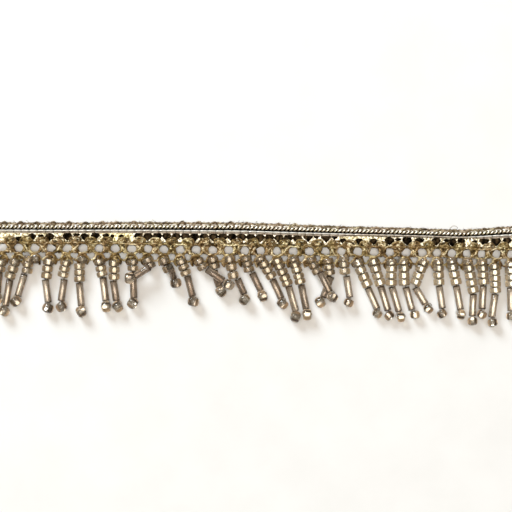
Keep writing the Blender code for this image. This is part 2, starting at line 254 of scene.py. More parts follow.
class Skin:
    """Points and faces of many small bodies, with a tone from 0 to 1 at each point."""

    def __init__(self):
        self.points = []
        self.tones = []
        self.faces = []
        self.count = 0

    def add(self, points, faces, tone):
        """One body: its points, and its faces in groups that have the same number of corners."""
        points = np.asarray(points, float).reshape(-1, 3)
        self.points.append(points)
        self.tones.append(np.broadcast_to(np.asarray(tone, float), len(points)))
        for group in faces:
            self.faces.append(np.asarray(group, int) + self.count)
        self.count += len(points)

    def tube(self, path, radius, sides, tone):
        """A closed tube along a path. Its radius is one number or one for each point."""
        level, upright = sides_of(path)
        turn = -np.arange(sides) * math.tau / sides
        radius = np.broadcast_to(np.asarray(radius, float), len(path))[:, None, None]
        ring = np.cos(turn)[:, None] * level[:, None] + np.sin(turn)[:, None] * upright[:, None]
        points = path[:, None] + radius * ring
        self.add(points, strip_faces(len(path), sides), tone)

    def revolve(self, centre, axis, profile, segments, tone, spin=0.0):
        """A ring turned round an axis from a closed profile of (radius, height) corners."""
        axis = unit(np.asarray(axis, float))
        helper = np.array((0.0, 0.0, 1.0)) if abs(axis[2]) < 0.9 else np.array((1.0, 0.0, 0.0))
        first = unit(np.cross(axis, helper))
        second = np.cross(axis, first)
        turn = np.arange(segments) * math.tau / segments + spin
        out = np.cos(turn)[:, None] * first + np.sin(turn)[:, None] * second
        profile = np.asarray(profile, float)
        points = centre + out[:, None] * profile[None, :, :1] + axis * profile[None, :, 1:]
        corners = len(profile)
        i, j = np.meshgrid(np.arange(segments), np.arange(corners), indexing="ij")
        after_i = (i + 1) % segments
        after_j = (j + 1) % corners
        around = (i * corners, after_i * corners)
        quads = np.stack((around[0] + j, around[1] + j, around[1] + after_j, around[0] + after_j), -1)
        self.add(points, [quads.reshape(-1, 4)], tone)

    def ribbon(self, x, y, top, under, tones):
        """A closed strip along the band, with rows of points on top and a level under side."""
        upper = spot(x[:, None], y, top)
        lower = spot(x[:, None], y[:, ::-1], np.full_like(top, under))
        rings = np.concatenate((upper, lower), axis=1)
        self.add(rings, strip_faces(len(x), rings.shape[1]), np.repeat(tones, rings.shape[1]))

    def build(self, name, material, slot, smooth=True):
        """The piece made of all bodies. It rides on the trim's one body."""
        mesh = bpy.data.meshes.new(name)
        faces = [face for group in self.faces for face in group.tolist()]
        mesh.from_pydata(np.concatenate(self.points), [], faces)
        mesh.validate()
        tone = mesh.attributes.new("tone", "FLOAT", "POINT")
        tone.data.foreach_set("value", np.concatenate(self.tones).astype(np.float32))
        mesh.polygons.foreach_set("use_smooth", np.full(len(mesh.polygons), smooth))
        mesh.materials.append(material)
        piece = bpy.data.objects.new(name, mesh)
        bpy.context.scene.collection.objects.link(piece)
        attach(piece, "root")
        return piece


def strip_faces(rings, sides):
    """Faces of a tube of rings, and its two caps."""
    i, j = np.meshgrid(np.arange(rings - 1), np.arange(sides), indexing="ij")
    after = (j + 1) % sides
    quads = np.stack((i * sides + j, i * sides + after, (i + 1) * sides + after, (i + 1) * sides + j), -1)
    first = np.arange(sides)[::-1][None]
    last = np.arange(sides)[None] + (rings - 1) * sides
    return [quads.reshape(-1, 4), first, last]


def plied(skin, path_points, thick, pitch, tone, plies=2, steps=7, sides=4, phase=0.0, lean=0.27, painted_shade=0.0):
    """Plies twisted round one another along a path. A shade value paints them darker where they run below:
    painted shade.
    """
    path = smooth_path(path_points, pitch / steps)
    along = np.arange(len(path)) / steps
    level, upright = sides_of(path)
    for ply in range(plies):
        angle = (math.tau * (along + ply / plies) + phase)[:, None]
        centre = path + thick * lean * (np.cos(angle) * level + np.sin(angle) * upright)
        tones = tone * (1 - painted_shade * (0.5 - 0.5 * np.sin(angle[:, 0])))
        skin.tube(centre, thick * (0.5 - lean) * 1.12, sides, np.repeat(tones, sides))


# Materials


class Nodes:
    """The nodes of a material or a world, and short ways to add the usual ones."""

    def __init__(self, owner):
        owner.use_nodes = True
        self.nodes = owner.node_tree.nodes
        self.links = owner.node_tree.links

    def node(self, kind, **values):
        made = self.nodes.new(kind)
        for key, value in values.items():
            if key in made.inputs:
                made.inputs[key].default_value = value
            else:
                setattr(made, key, value)
        return made

    def link(self, source, target):
        self.links.new(source, target)

    def ramp(self, source, stops):
        made = self.node("ShaderNodeValToRGB")
        ramp = made.color_ramp
        while len(ramp.elements) < len(stops):
            ramp.elements.new(0.5)
        for element, (at, colour) in zip(ramp.elements, stops):
            element.position = at
            element.color = (*colour, 1)
        self.link(source, made.inputs["Fac"])
        return made.outputs["Color"]

    def spread(self, source, before, after=(0.0, 1.0)):
        """A source spread so that its two values before become the two after."""
        made = self.node("ShaderNodeMapRange")
        for name, value in zip(("From Min", "From Max", "To Min", "To Max"), (*before, *after)):
            made.inputs[name].default_value = value
        self.link(source, made.inputs["Value"])
        return made.outputs["Result"]


class Shader(Nodes):
    """A node material, with its main shader at hand."""

    def __init__(self, name, **sockets):
        self.material = bpy.data.materials.new(name)
        super().__init__(self.material)
        self.main = self.nodes["Principled BSDF"]
        for socket, value in sockets.items():
            self.main.inputs[socket.replace("_", " ")].default_value = value

    def place(self, stretch=(1, 1, 1)):
        """Places on the piece, in metres times the stretch."""
        coordinates = self.node("ShaderNodeTexCoord")
        mapping = self.node("ShaderNodeMapping", Scale=stretch)
        self.link(coordinates.outputs["Object"], mapping.inputs["Vector"])
        return mapping.outputs["Vector"]

    def noise(self, scale, detail=2.0, stretch=(1, 1, 1)):
        made = self.node("ShaderNodeTexNoise", Scale=scale, Detail=detail)
        self.link(self.place(stretch), made.inputs["Vector"])
        return made.outputs["Fac"]

    def total(self, *parts):
        """The sum of sources, each times its share."""
        whole = None
        for source, share in parts:
            made = self.node("ShaderNodeMath", operation="MULTIPLY_ADD")
            self.link(source, made.inputs[0])
            made.inputs[1].default_value = share
            made.inputs[2].default_value = 0
            if whole:
                self.link(whole, made.inputs[2])
            whole = made.outputs["Value"]
        return whole

    def mix(self, factor, a, b):
        """Two colours mixed by a factor."""
        made = self.node("ShaderNodeMix", data_type="RGBA")
        self.link(factor, made.inputs[0])
        self.link(a, made.inputs[6])
        self.link(b, made.inputs[7])
        return made.outputs[2]

    def flakes(self, scale):
        """Small bumps side by side."""
        made = self.node("ShaderNodeTexVoronoi", Scale=scale)
        self.link(self.place(), made.inputs["Vector"])
        return made.outputs["Distance"]

    def tone(self):
        return self.node("ShaderNodeAttribute", attribute_name="tone").outputs["Fac"]

    def roughness(self, source, low, high):
        self.link(self.spread(source, (0.0, 1.0), (low, high)), self.main.inputs["Roughness"])

    def bump(self, source, distance, strength=1.0):
        made = self.node("ShaderNodeBump", Distance=distance, Strength=strength)
        self.link(source, made.inputs["Height"])
        self.link(made.outputs["Normal"], self.main.inputs["Normal"])

    def colour(self, source):
        self.link(source, self.main.inputs["Base Color"])


def thread_material(name, cool, warm, roughness, metallic, scale=900.0, glint=0.55, gloss=0.5):
    """Metallic thread: colours run from dark to light by tone and fleck, in a cooler and a warmer hue.
    The fleck is partly the yarn's own mottle and partly painted glints and painted dark reflections.
    """
    made = Shader(name, Metallic=metallic, Specular_IOR_Level=gloss)
    mottle_and_painted_glint = made.noise(scale, 3.0)
    mixed = made.total((mottle_and_painted_glint, 0.9), (made.tone(), 0.42))
    stops = (0.4, 0.64, 0.88)
    patches = made.spread(made.noise(260.0, 2.0), (0.42, 0.58))
    hues = [made.ramp(mixed, tuple(zip(stops, hue))) for hue in (cool, warm)]
    made.colour(made.mix(patches, *hues))
    made.roughness(made.noise(scale * 1.7, 2.0), roughness - 0.12, roughness + 0.15)
    made.bump(made.flakes(scale * 3.6), 0.00006, glint)
    return made.material


def tape_material():
    """Flat metallic tape: bright with fine lengthwise threads."""
    made = Shader("metal_tape", Metallic=0.35)
    threads = made.noise(2600.0, 3.0, (0.12, 1, 1))
    patches = made.noise(420.0, 2.0)
    mixed = made.total((threads, 0.6), (patches, 0.4), (made.tone(), 0.4))
    tints = (
        (0.2, (0.2, 0.13, 0.085)),
        (0.44, (0.52, 0.39, 0.29)),
        (0.62, (0.85, 0.75, 0.63)),
        (0.9, (1.0, 0.95, 0.87)),
    )
    made.colour(made.ramp(mixed, tints))
    made.roughness(threads, 0.22, 0.5)
    made.bump(threads, 0.00005, 0.7)
    return made.material


def glass_material(name, deep, light, roughness, clear=0.82):
    """Tinted glass, from its deep to its light tint by the bead's tone."""
    made = Shader(name, Roughness=roughness, IOR=1.5, Transmission_Weight=clear)
    cloud = made.noise(500.0, 2.0)
    mixed = made.total((cloud, 0.5), (made.tone(), 0.5))
    made.colour(made.ramp(mixed, ((0.25, deep), (0.75, light))))
    made.bump(made.noise(300.0, 1.0), 0.00002, 0.15)
    return made.material


def lining_material():
    """The silvered hole of a bead, from dull to bright by its tone: the dull end is painted shade on the same
    silver.
    """
    made = Shader("bead_lining", Metallic=0.8)
    streak = made.noise(300.0, 2.0)
    dull = made.ramp(streak, ((0.35, (0.12, 0.102, 0.094)), (0.6, (0.16, 0.137, 0.13))))
    bright = made.ramp(streak, ((0.35, (0.76, 0.87, 1.0)), (0.6, (0.82, 0.92, 1.0))))
    made.colour(made.mix(made.tone(), dull, bright))
    made.roughness(streak, 0.06, 0.16)
    made.bump(made.noise(500.0, 1.0), 0.00001, 0.2)
    return made.material


def pale_foil_material():
    """Pale crumpled foil: ivory, and yellow where its tone is high. A noise darkens it in patches: painted
    shade of its crumples.
    """
    made = Shader("pale_foil", Metallic=0.7)
    painted_crease_shade = made.noise(1900.0, 3.0)
    ivory = ((0.38, (0.1, 0.075, 0.04)), (0.5, (0.5, 0.45, 0.33)), (0.62, (1.0, 0.97, 0.9)))
    yellow = ((0.4, (0.16, 0.13, 0.035)), (0.54, (0.55, 0.5, 0.22)), (0.66, (0.95, 0.93, 0.62)))
    made.colour(made.mix(made.tone(), made.ramp(painted_crease_shade, ivory), made.ramp(painted_crease_shade, yellow)))
    made.roughness(painted_crease_shade, 0.2, 0.5)
    made.bump(made.noise(900.0, 2.0), 0.00012, 0.7)
    return made.material


def dark_facet_material():
    """Dark mirror, nearly black, with brown smears."""
    made = Shader("dark_facets", Metallic=1.0)
    smear = made.noise(1100.0, 2.0, (1, 0.3, 1))
    made.colour(made.ramp(smear, ((0.42, (0.002, 0.0015, 0.001)), (0.74, (0.03, 0.02, 0.01)))))
    made.roughness(smear, 0.08, 0.26)
    made.bump(made.noise(380.0, 1.0), 0.00006, 0.5)
    return made.material


def floor_material():
    """White paper."""
    made = Shader("paper", Roughness=0.7)
    made.colour(made.ramp(made.noise(60.0, 4.0), ((0.3, (0.86, 0.855, 0.845)), (0.7, (0.9, 0.897, 0.89)))))
    made.bump(made.noise(1500.0, 3.0), 0.00002, 0.3)
    return made.material


# Heading: two metallic tapes stitched across, the picot yarn on the upper edge, and a near-black backing
# with yarns: painted shade that shows through the gaps of the heading, under the cord and in the groove


# Where the lower tape is duller and narrower: x in grid steps, and what its tone loses
DULL_TAPE = ((340, 365, 470, 484), (0.0, 0.75, 0.75, 0.0))
EVEN_TAPE = ((0,), (0,))

# Near-black yarns that paint the shade below the cord and in the groove: row, and how much lower in grid
# steps; then height and radius in metres, and tone
PAINTED_SHADE_YARNS = ((GROOVE_ROW, 0, 0.00062, 0.0003, 0.2), (CORD_ROW, 0.4, 0.0008, 0.00034, 0.1))

# Stitches across each tape: its rows; their shift along it and their lean in grid steps; their crown
STITCHES = (
    (UPPER_TAPE, 1.5, 2.4, 0.00055),
    ((LOWER_TAPE_LINE[0], LOWER_TAPE_BODY[1]), 0.0, 0.6, 0.0008),
)
STITCH_FOOT = 0.0006


def tape_grid(skin, shares, heights, dips, tone, dull=EVEN_TAPE, cut=0.0, step=1.0):
    """A crowned tape between two rows of the band, drawn in where it is stitched, narrower where dull."""
    base, crown = heights
    x = np.arange(LEFT_END, RIGHT_END + 0.01, step)
    across = np.linspace(0, 1, 8)
    loss = np.interp(x, *dull)
    narrower = cut * np.minimum(1, loss)[:, None]
    share = shares[0] + (shares[1] - shares[0] - narrower) * across
    y = guide(x, 1)[:, None] + share * (guide(x, 2) - guide(x, 1))[:, None]
    pull = np.zeros_like(x)
    for stitch in dips:
        pull = np.maximum(pull, np.exp(-(((x - stitch) / 0.9) ** 2)))
    top = base + crown * np.sin(math.pi * (0.08 + 0.84 * across))[None] * (1 - 0.6 * pull[:, None])
    top = top + 0.00005 * np.sin(x[:, None] * 0.9 + across * 2)
    y = y + (0.5 - across)[None] * pull[:, None] * 0.7
    skin.ribbon(x, y, top, base, tone - loss + random.normal(0, 0.1, len(x)))


def stitch_places():
    """x of each stitch of the lower tape, not quite even."""
    places = np.arange(LEFT_END + 3.5, RIGHT_END - 2, STITCH_PITCH)
    return places + random.normal(0, 0.35, len(places))


def make_heading():
    stitches = stitch_places()
    tapes = Skin()
    tape_grid(tapes, UPPER_TAPE, UPPER_HEIGHTS, stitches + STITCHES[0][1], 1.0)
    tape_grid(tapes, LOWER_TAPE_LINE, LOWER_LINE_HEIGHTS, stitches, 1.1, DULL_TAPE)
    tape_grid(tapes, LOWER_TAPE_BODY, LOWER_BODY_HEIGHTS, stitches, 0.2, DULL_TAPE, cut=0.09)
    tape_piece = tapes.build("tapes", tape_material(), "metal_tape")
    # The backing and its yarns are near black: painted shade, seen through the gaps of the heading
    painted_shade_backing = Skin()
    tape_grid(painted_shade_backing, PAINTED_SHADE_BACKING_ROWS, PAINTED_SHADE_BACKING_HEIGHTS, (), 0.1, step=2.0)
    x = np.linspace(LEFT_END, RIGHT_END, 300)
    for row, lower, height, radius, tone in PAINTED_SHADE_YARNS:
        painted_shade_backing.tube(spot(x, band(x, row) + lower, height), radius, 6, tone)
    painted_shade = thread_material(
        "painted_shade_backing",
        ((0.002, 0.0012, 0.0006), (0.012, 0.008, 0.003), (0.06, 0.042, 0.02)),
        ((0.003, 0.0015, 0.0006), (0.016, 0.009, 0.004), (0.07, 0.045, 0.025)),
        0.75, 0.0, gloss=0.08,
    )
    painted_shade_backing_piece = painted_shade_backing.build("painted_shade_backing", painted_shade, "metal_tape")
    yarns = Skin()
    for x in stitches:
        for shares, shift, lean, crown in STITCHES:
            if x + shift + 2.5 > RIGHT_END:
                continue
            line = np.linspace(-0.01, 1.01, 6)
            share = shares[0] + (shares[1] - shares[0]) * line
            xs = x + shift + (0.5 - line) * lean
            z = STITCH_FOOT + crown * np.sin(math.pi * np.clip(line, 0.0, 1.0)) ** 0.5
            path = smooth_path(spot(xs, band(xs, share), z), STITCH_STEP)
            yarns.tube(path, STITCH_RADIUS, 5, 0.1 + 0.5 * random.random())
            if DULL_TAPE[0][1] < x < DULL_TAPE[0][2] and not shift:
                yarns.tube(path + (0.001, 0, 0), 0.0001, 5, 0.1 + 0.5 * random.random())
    make_picots(yarns)
    brown = thread_material(
        "picot_yarn",
        ((0.05, 0.032, 0.013), (0.23, 0.165, 0.085), (0.74, 0.64, 0.43)),
        ((0.06, 0.034, 0.016), (0.25, 0.165, 0.09), (0.74, 0.6, 0.43)),
        0.45, 0.4, 1200.0,
    )
    yarn_piece = yarns.build("picot_yarn", brown, "metal_tape")
    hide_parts("heading")
    return [tape_piece, painted_shade_backing_piece, yarn_piece]


# A picot's two strands in grid steps from the picot's middle, with a height in mm
PICOT = (
    (-7, 3.2, 0.95), (-4.4, 1.6, 1.2), (-1.6, -1, 1.2), (0.1, -1.9, 0.9), (1.8, -0.9, 0.95), (4.4, 1, 0.8),
)
PICOT_TUFT = (
    (-3.6, 0.2, 0.7), (-1.6, -1.4, 0.9), (0.8, -1.3, 1.1), (2.6, 0.3, 1), (1.2, 1.2, 0.9), (-1.6, 0.9, 0.8),
)

# Yarns along the upper edge: how much lower each runs in grid steps, its height in metres and its tone
EDGE_YARNS = ((0.0, 0.0007, 0.7), (0.75, 0.0008, 0.5), (-0.45, 0.00045, 0.35))

# A thread that stands off the upper edge: x and y in grid steps, and height in metres
STRAY_THREAD = (
    (449, 232, 0.0012), (449.6, 228.4, 0.0018), (453, 226, 0.0021),
    (456.6, 227.4, 0.0019), (455.4, 230.4, 0.0016), (452, 231.6, 0.0013),
)
FIBRES = 420


def make_picots(skin):
    """The yarn on the upper edge, a small loop at each repeat, and fibres that stand off it."""
    for count in range(REPEATS):
        middle = hole_x(count) + 2.2 + random.normal(0, 0.5)
        grow = random.uniform(0.7, 1.25) * change(middle, (290, 320), (1, 0.55))
        for strand, thick in ((PICOT, 0.00044), (PICOT_TUFT, 0.00036)):
            strand = np.array(strand) * (1, grow, 1) + random.normal(0, 0.12, (len(strand), 3)) * (1, 1, 0.2)
            x = middle + strand[:, 0]
            if x.min() < LEFT_END + END_MARGIN or x.max() > RIGHT_END - END_MARGIN:
                continue
            path = spot(x, band(x, PICOT_ROW) + strand[:, 1], strand[:, 2] / 1000)
            plied(skin, path, thick, PICOT_PITCH, random.uniform(0.15, 0.75), steps=6)
    x = np.linspace(LEFT_END + END_MARGIN, RIGHT_END - END_MARGIN, 260)
    rough = random.normal(0, 0.16, len(x))
    for lower, height, tone in EDGE_YARNS:
        wave = 0.3 * np.sin(x * 1.3 + lower * 5) + rough
        path = spot(x, band(x, PICOT_ROW) + lower + wave, height)
        plied(skin, path, 0.00046, FINE_PITCH, tone, steps=6)
    skin.tube(smooth_path(spot(*np.transpose(STRAY_THREAD)), 0.0002), 0.00006, 4, 0.15)
    for _ in range(FIBRES):
        start = random.uniform(LEFT_END + 2.5, RIGHT_END - 3)
        away = random.normal(0, 1.3, 2)
        lift = random.uniform(0.0006, 0.0012)
        root = band(start, PICOT_ROW) + random.normal(0.2, 0.7)
        path = spot(
            start + away[0] * np.array((0, 0.6, 1.1)),
            root - abs(away[1]) * np.array((0, 0.7, 0.9)),
            lift * np.array((0.8, 1.2, 1.0)),
        )
        skin.tube(smooth_path(path, 0.00025), FIBRE_RADIUS, 3, random.uniform(0.1, 0.8))


# Twisted cord between the tapes


def make_cord():
    cord = Skin()
    x = np.linspace(LEFT_END, RIGHT_END, 200)
    path = spot(x, band(x, CORD_ROW), CORD_HEIGHT)
    # The lower side of each ply is painted darker: painted shade in the cord's grooves
    plied(cord, path, CORD_THICK, CORD_PITCH, 1.0, steps=16, sides=8, lean=0.3, painted_shade=1.6)
    shine = thread_material(
        "twist_gold",
        ((0.02, 0.012, 0.003), (0.62, 0.5, 0.28), (1.0, 0.95, 0.8)),
        ((0.026, 0.012, 0.004), (0.64, 0.5, 0.32), (1.0, 0.93, 0.82)),
        0.26, 0.75, 700.0, 0.25,
    )
    piece = cord.build("twist_cord_threads", shine, "twist_gold")
    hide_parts("twist_cord")
    return piece


# Mirror foil: a pale strip under a row of faceted, dark mirror lozenges

# x and y of each lozenge that shows dark, its width and height, in grid steps
LOZENGES = (
    (19.5, 239, 8, 5), (32, 237, 9.5, 6.5), (41, 236, 6, 3.5), (50, 237, 9.5, 6.5),
    (67.5, 236.5, 10, 7), (76.5, 235, 8, 3), (85, 237, 9, 6.5), (95.5, 236, 9, 7),
    (106, 235.8, 7, 4.5), (112.5, 236.4, 4, 4), (121.5, 237, 5, 5), (308, 237.5, 10, 7.5),
    (316.5, 236.8, 6, 4), (326, 238, 10, 8), (334.5, 237.2, 6, 4), (343, 241.2, 7.5, 5),
    (359, 241.5, 8.5, 6), (373.5, 241.5, 8.5, 5.5), (389.5, 241, 10, 7), (398, 239.5, 7, 3),
    (407, 241, 10, 7.5), (419.5, 240.6, 10, 5), (436, 241.5, 9.5, 7.5), (446.5, 240.5, 7, 3),
    (452, 242.5, 9, 7), (461, 241.5, 8, 6), (474.5, 242, 5, 4), (484, 241.5, 10, 7.5),
    (496, 241.5, 10, 7.5), (507, 241, 9, 7),
)

# The even ones between them: x of one of them, the counts from it, and their size; then how much
# larger every lozenge is drawn
EVEN_LOZENGES = (241.5, -11, 7)
LOZENGE_SIZE = (9.6, 7.4)
LOZENGE_GROWTH = 1.03

# Heights of a lozenge in metres: foot, edge, inner ring and peak
LOZENGE_HEIGHTS = (0.0004, 0.00062, 0.00068, 0.00072)

# Outline of a lozenge, as shares of half its width and height: a round top and a pointed foot
LOZENGE_RIM = (
    (1, -0.1), (0.74, 0.22), (0.48, 0.5), (0.23, 0.78), (0.02, 1), (-0.23, 0.78), (-0.48, 0.5), (-0.74, 0.22),
    (-1, -0.1), (-0.92, -0.45), (-0.7, -0.75), (-0.36, -0.94), (0.02, -1), (0.36, -0.94), (0.7, -0.75),
    (0.92, -0.45),
)


def lozenge(skin, x, y, wide, tall, tone):
    """A rounded lozenge whose facets rise to a low peak."""
    rim = np.array(LOZENGE_RIM[::-1]) + random.normal(0, 0.035, (len(LOZENGE_RIM), 2))
    corners = len(rim)
    px = x + wide * LOZENGE_GROWTH / 2 * rim[:, 0]
    py = y + 0.2 + tall * (LOZENGE_GROWTH + 0.16) / 2 * rim[:, 1]
    foot, edge, ring, peak = LOZENGE_HEIGHTS
    inner = spot(x + 0.6 * (px - x), y + 0.6 * (py - y), ring + random.normal(0, 0.00003, corners))
    points = np.concatenate((spot(px, py, foot), spot(px, py, edge), inner, spot([x], [y], [peak])))
    quads, under, rim = strip_faces(3, corners)
    fan = np.stack((rim[0], np.roll(rim[0], -1), np.full(corners, 3 * corners)), -1)
    skin.add(points, [under, quads, fan], tone)


# Where the pale foil is yellow: x in grid steps, and how yellow
YELLOW_FOIL = (
    (-6, 100, 108, 128, 134, 330, 345, 372, 382, 518),
    (0.3, 0.22, 0.7, 0.7, 0.1, 0.05, 0.35, 0.35, 0.15, 0.2),
)
FOIL_HEIGHTS = (0.00032, 0.00045)


def make_foil():
    pale = Skin()
    x = np.linspace(LEFT_END, RIGHT_END, 320)
    across = np.linspace(0, 1, 7)
    top, foot = (band(x, row) for row in FOIL_ROWS)
    y = top[:, None] + (foot - top)[:, None] * across
    crumple = 0.00005 * np.sin(x[:, None] * 0.67 + 3 * across) + 0.00003 * np.sin(x[:, None] * 1.9)
    crumple = crumple + random.normal(0, 0.00002, crumple.shape)
    pale.ribbon(x, y, FOIL_HEIGHTS[1] + crumple, FOIL_HEIGHTS[0], np.interp(x, *YELLOW_FOIL))
    pale_piece = pale.build("pale_foil", pale_foil_material(), "mirror_foil")
    dark = Skin()
    for row in LOZENGES:
        lozenge(dark, *row, 0.5)
    middle, low, high = EVEN_LOZENGES
    for count in range(low, high):
        at = middle + FACET_PITCH * count
        lozenge(dark, at, float(band(at, FACET_ROW)), *LOZENGE_SIZE, 0.5)
    dark_piece = dark.build("dark_facets", dark_facet_material(), "mirror_foil", smooth=False)
    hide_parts("foil_strip")
    return [pale_piece, dark_piece]


# Crocheted net: a fan in each repeat, rings round the large holes, and the row of loops below


def mirrored(path):
    """A path with left and right changed over."""
    return tuple((-x, y) for x, y in path)


def arch(half):
    """A path from its left half, with the same on the right."""
    return (*half, *mirrored(half[-2::-1]))


# Yarn of one repeat, in grid steps from the middle between two large holes: its points, its height
# at the ends and in the middle in mm, its thickness in mm and its tone. A fan is one of three kinds.
CROWN = (
    (-5.5, -4.4), (-5.7, -7.4), (-4.6, -10.2), (-2.2, -11.6),
    (1.6, -11.8), (4.4, -10.4), (5.7, -7.2), (5.4, -4.4),
)
SIDE = ((-5.6, -5.2), (-3.6, -3.4), (-2.5, -1), (-2.6, 1.4), (-3.6, 3.4), (-6, 4.6))
LEG = ((-8.4, 4.4), (-5.8, 6.6), (-3.4, 9), (-1.4, 11.2), (0.8, 12))
FANS = (
    (
        (CROWN, 0.6, 0.95, 0.5, 0.4),
        (((-4.6, -5), (-3, -7.4), (-0.6, -9), (2.6, -10.2)), 0.8, 1.15, 0.56, 0.55),
        (((-2.6, -4.4), (-0.6, -6.6), (1.8, -8), (4.6, -8.8)), 0.8, 1.2, 0.56, 0.25),
        (((0, -4.4), (1.6, -5.6), (3.6, -6.6), (5, -6.6)), 0.8, 1.1, 0.52, 0.7),
        (((-5, -6.2), (-4.2, -8.4), (-2.2, -10)), 0.7, 1, 0.5, 0.1),
        (((-5.4, -5), (-2.4, -5.8), (0.6, -5), (3.4, -5.4), (5.6, -4.8)), 0.9, 1.1, 0.56, 0.35),
    ),
    (
        (CROWN, 0.6, 0.9, 0.5, 0.25),
        (
            ((-4.4, -4.6), (-4, -7.6), (-1.6, -9.4), (1.4, -9.5), (3.8, -7.9), (4.4, -4.8)),
            0.7, 0.95, 0.56, 0.05,
        ),
        (((-3, -6), (-1.2, -7.6), (0.8, -8.2), (2.4, -7.2)), 0.95, 1.25, 0.56, 1),
        (((-2.2, -4.6), (-0.4, -5.6), (1.8, -6.2), (3.2, -5.4)), 0.9, 1.15, 0.5, 0.6),
        (((-1.6, -8.6), (0.2, -10), (2.4, -10.4)), 0.9, 1.1, 0.5, 0.45),
        (((-5.4, -5.6), (-2.6, -4.8), (0.2, -4.2), (3.4, -4.6), (5.6, -5.4)), 0.8, 1.05, 0.56, 0.2),
    ),
    (
        (CROWN, 0.6, 0.95, 0.5, 0.5),
        (((3.6, -4.8), (2.6, -7.6), (0.2, -9.4), (-2.8, -10)), 0.8, 1.1, 0.54, 0.3),
        (((1.2, -4.6), (-0.4, -6.8), (-2.4, -8.2), (-4.6, -8.4)), 0.8, 1.2, 0.58, 0.7),
        (((-1.4, -4.6), (-3, -5.8), (-5, -6.2)), 0.9, 1.05, 0.5, 0.15),
        (((4.8, -5.6), (4.4, -8), (2.6, -9.8)), 0.7, 1, 0.5, 0.5),
        (((-4.8, -4.4), (-1.6, -5.4), (1.8, -5.2), (5.2, -4.6)), 0.8, 1.15, 0.54, 0.5),
    ),
)
NET_YARN = (
    (SIDE, 0.6, 0.85, 0.56, 0.6),
    (mirrored(SIDE), 0.6, 0.85, 0.56, 0.25),
    (((-4, -4.6), (-1.6, -3.2), (-1.4, -0.6), (-1.8, 2), (-3.4, 4.6)), 0.7, 0.95, 0.52, 0.1),
    (((4.2, -4.2), (1.9, -3), (1.3, -0.2), (2, 2.4), (3.6, 4.8)), 0.7, 0.9, 0.52, 0.5),
    (((-4.4, -4.6), (-1.6, -2.2), (0.4, 0.6), (2, 3), (4, 4.4)), 0.8, 1.1, 0.52, 0.45),
    (((4.2, -4.6), (1.7, -2), (0, 0.4), (-1.8, 2.6), (-4, 4.6)), 0.7, 1.2, 0.54, 0.85),
    (((-0.8, -4.6), (0.8, -1.8), (-0.8, 0.8), (0.6, 3.6)), 0.55, 0.75, 0.5, 0),
    (((1.4, -4), (-1.6, -0.6), (1.6, 1.6), (-0.6, 4.4)), 0.7, 0.95, 0.44, 0.35),
    (((-2.6, 3.6), (-0.4, 2.8), (2, 3.8)), 0.8, 1, 0.5, 0.7),
    (LEG, 0.9, 1.2, 0.52, 0.9),
    (mirrored(LEG), 0.8, 1.1, 0.52, 0.6),
)

# Half width and y at the foot and at the top of the area that short strands fill, and their number
FAN_FIELD = ((4.4, -5.6), (3.6, -11), 19)
PILLAR_FIELD = ((2, 4), (2, -4), 11)
LOOP_FIELD = ((3.6, 13), (2.2, 6), 6)

# Yarn round one large hole and over the first bead of a drop, from the middle of the large hole
HOLE_YARN = (
    (arch(((-3.4, 4.4), (-5.3, 1.1), (-4.8, -1.9), (-2.4, -4.4), (0, -5.4))), 0.3, 0.35, 0.5, 0.1),
    (arch(((-4, 4.3), (-5.9, 0.9), (-5.3, -2.2), (-2.8, -4.8), (0, -5.7))), 0.7, 0.75, 0.5, 0.35),
    (((-6.4, 3.2), (-4.2, 4.4), (-1.2, 4.9), (1.6, 4.8), (4.4, 4.1), (6.6, 2.6)), 0.8, 1.1, 0.5, 0.75),
    (arch(((-5.8, -3.4), (-4, -4.8), (0, -5.2))), 0.95, 1.15, 0.5, 0.5),
)
BIG_LOOP = (
    (-3.6, 16.2), (-5.3, 13.4), (-4.9, 9.8), (-2.9, 6.6), (-0.2, 5.4),
    (2.7, 6.4), (4.8, 9.6), (5.3, 13), (4, 16),
)
LOOP_YARN = (
    (BIG_LOOP, 0.5, 1.5, 0.62, 0.5),
    (
        ((-3, 15.4), (-4.6, 12.8), (-4, 9.4), (-1.8, 7), (1.6, 7), (3.9, 9.4), (4.7, 12.6), (3.4, 15.2)),
        0.6, 1.45, 0.5, 0.35,
    ),
    (((-4.6, 6.6), (-2.6, 5.2), (0.6, 4.9), (3.6, 6)), 0.9, 1.35, 0.5, 0.95),
    (arch(((-5.2, 12), (-3.2, 13.4), (0, 13.9))), 0.4, 0.45, 0.6, 0.1),
    (((-4.6, 8.4), (-2, 9.8), (0.6, 9.6), (3.4, 10.6)), 0.5, 0.9, 0.6, 0.3),
    (((4.4, 8), (2.2, 9), (-0.4, 11), (-3.6, 12)), 0.5, 0.8, 0.6, 0.1),
    (((0.4, 6.6), (-0.8, 9.2), (0.8, 11.6), (0, 14)), 0.6, 1, 0.56, 0.5),
)

# How uneven yarns lie in grid steps, what their heights are multiplied by, and how far they are raised
UNEVEN = 0.42
LIFT = 1.3
RAISED = 0.00045
LOOPS_RAISED = 0.0002

# Fans lie above this y. They are lower where the band is narrower than usual.
FAN_FOOT = -4
USUAL_BAND = 27.9
FAN_HEIGHT = 0.93


def lowered(y, narrow):
    """y on the net, with fans made lower."""
    return np.where(y < FAN_FOOT, FAN_FOOT + (y - FAN_FOOT) * narrow, y)


